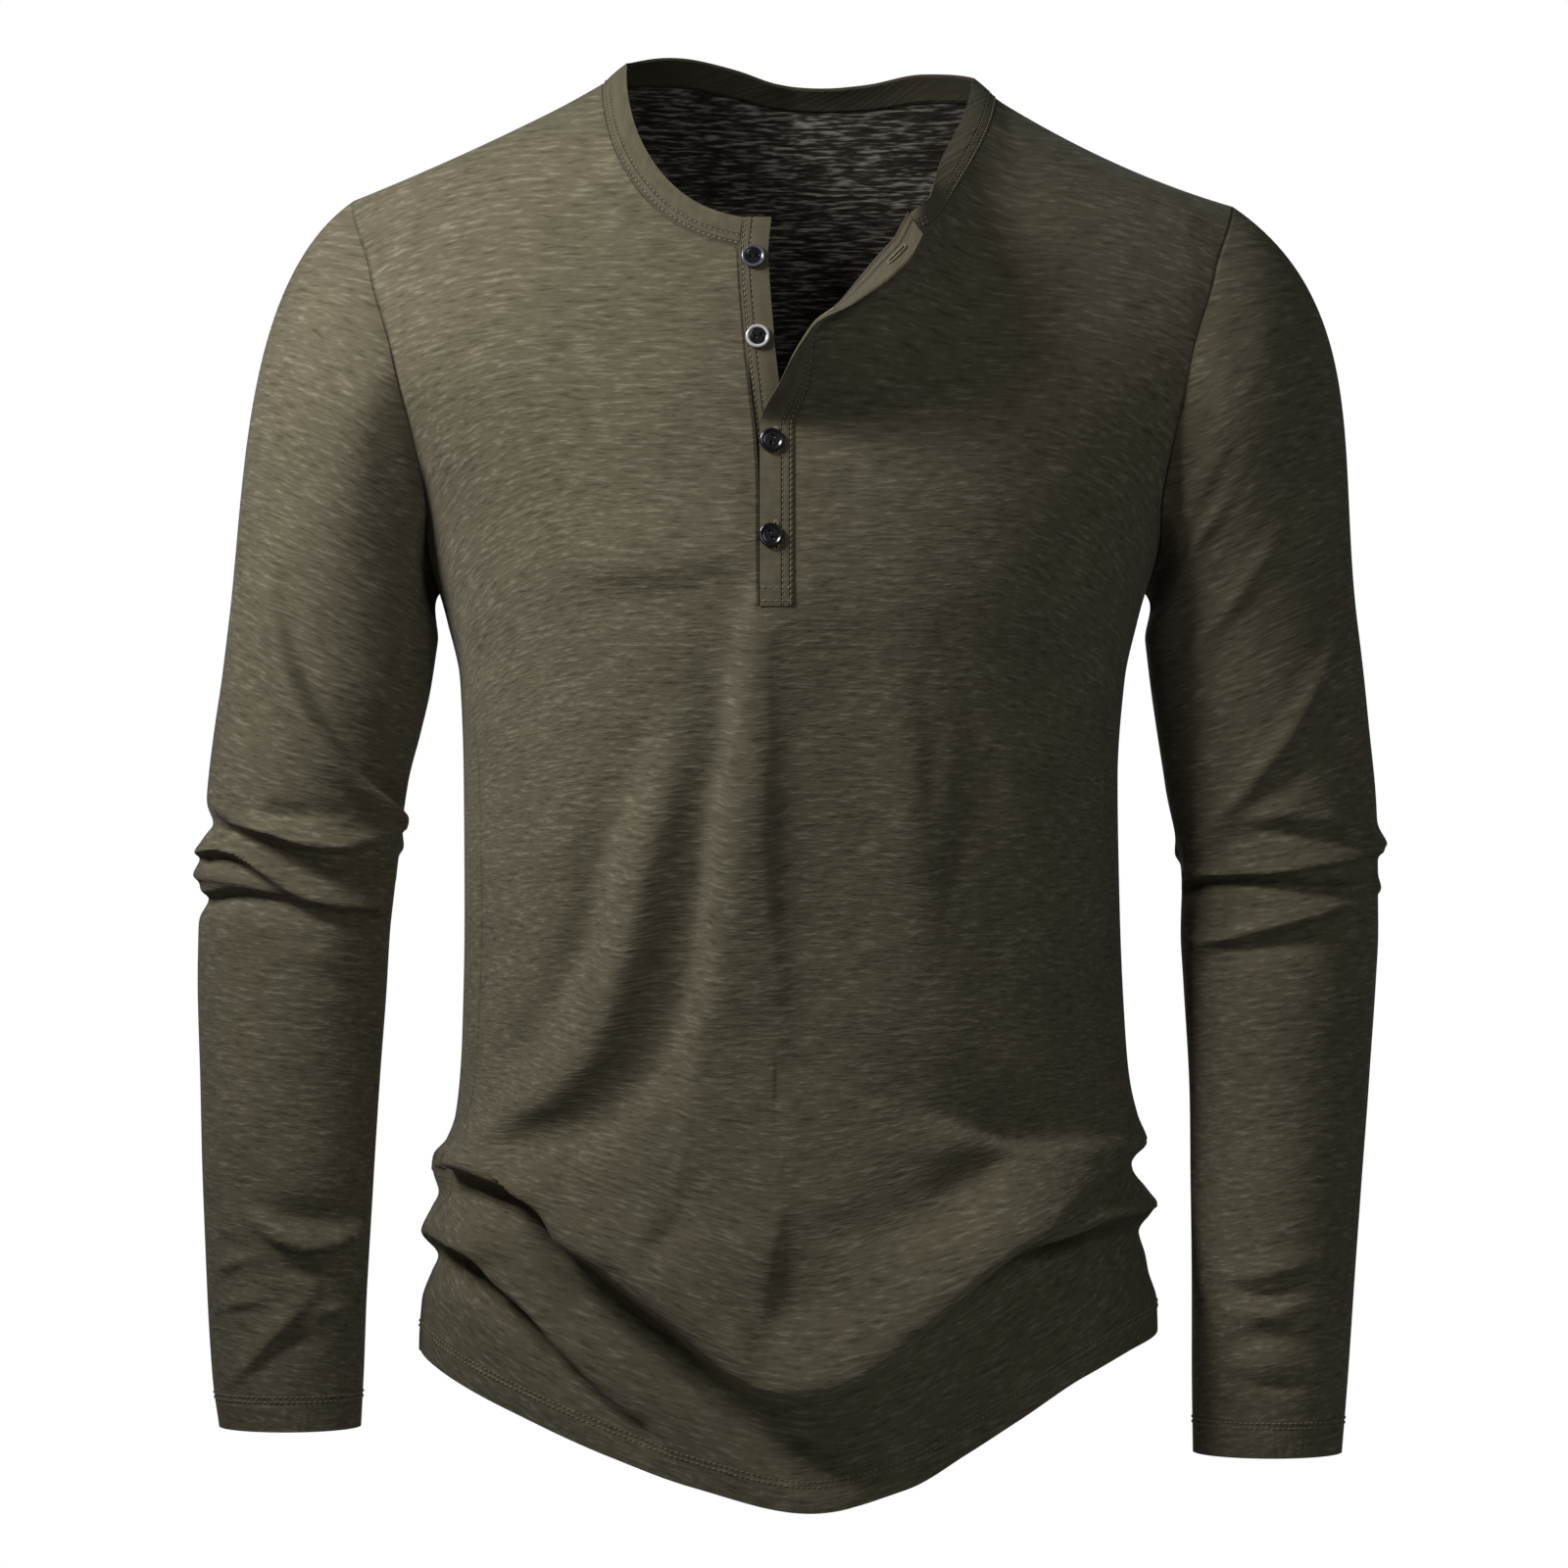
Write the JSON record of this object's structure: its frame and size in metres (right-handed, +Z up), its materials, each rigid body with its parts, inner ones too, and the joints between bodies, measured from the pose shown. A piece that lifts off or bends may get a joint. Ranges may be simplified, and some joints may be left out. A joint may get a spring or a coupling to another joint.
{
  "type": "henley shirt",
  "caption": "Long-sleeved slub jersey henley, filled out as if worn, with an open buttoned placket, a plain neckband and a curved shirt-tail hem.",
  "frame": {"origin": "middle of the neck's base, between the two points where the shoulder seams meet the neckband, where a wearer's shoulders hold the shirt", "axes": "+Z up, -Y out of the shirt's front, +X towards the wearer's left"},
  "size_m": [0.6068, 0.2562, 0.7316],
  "materials": {
    "slub_jersey": "matt slub jersey in khaki green with short pale dashes along its courses",
    "plain_trim": "matt plain jersey in the same green",
    "dark_button": "glossy near-black resin"
  },
  "bodies": {
    "root": {"front": "slub_jersey", "back": "slub_jersey", "sleeve_left": "slub_jersey", "sleeve_right": "slub_jersey", "neckband": "plain_trim", "placket_over": "plain_trim", "placket_under": "plain_trim", "button_1": "dark_button", "button_2": "dark_button", "button_3": "dark_button", "button_4": "dark_button"}
  },
  "joints": []
}
